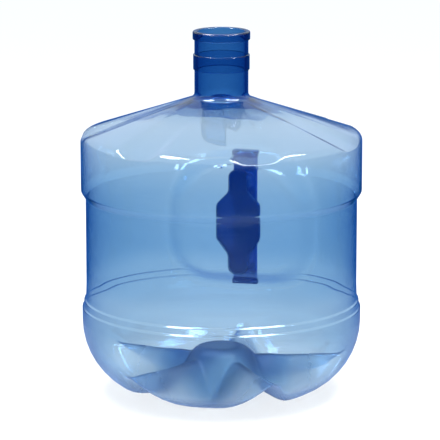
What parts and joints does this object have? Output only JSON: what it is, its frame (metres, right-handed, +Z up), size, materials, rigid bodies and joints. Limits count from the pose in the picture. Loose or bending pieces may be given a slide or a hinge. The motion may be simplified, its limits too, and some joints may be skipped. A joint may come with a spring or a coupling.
{
  "type": "water bottle",
  "caption": "Clear blue refillable water-cooler bottle with an open crown neck, fluted shoulder, footed base and a carry handle set in a recess in its back.",
  "frame": {"origin": "centre of the bottle's footprint, on the surface it stands on", "axes": "+Z up through the neck, +Y towards the carry handle at the back, +X to the right seen from the front"},
  "size_m": [0.27, 0.27, 0.352],
  "materials": {
    "clear_blue_pet": "clear blue stretch-blown PET, glossy",
    "dark_blue_pet": "dark translucent blue injection-moulded PET, glossy"
  },
  "bodies": {
    "root": {"bottle_shell": "clear_blue_pet", "carry_handle": "dark_blue_pet"}
  },
  "joints": []
}
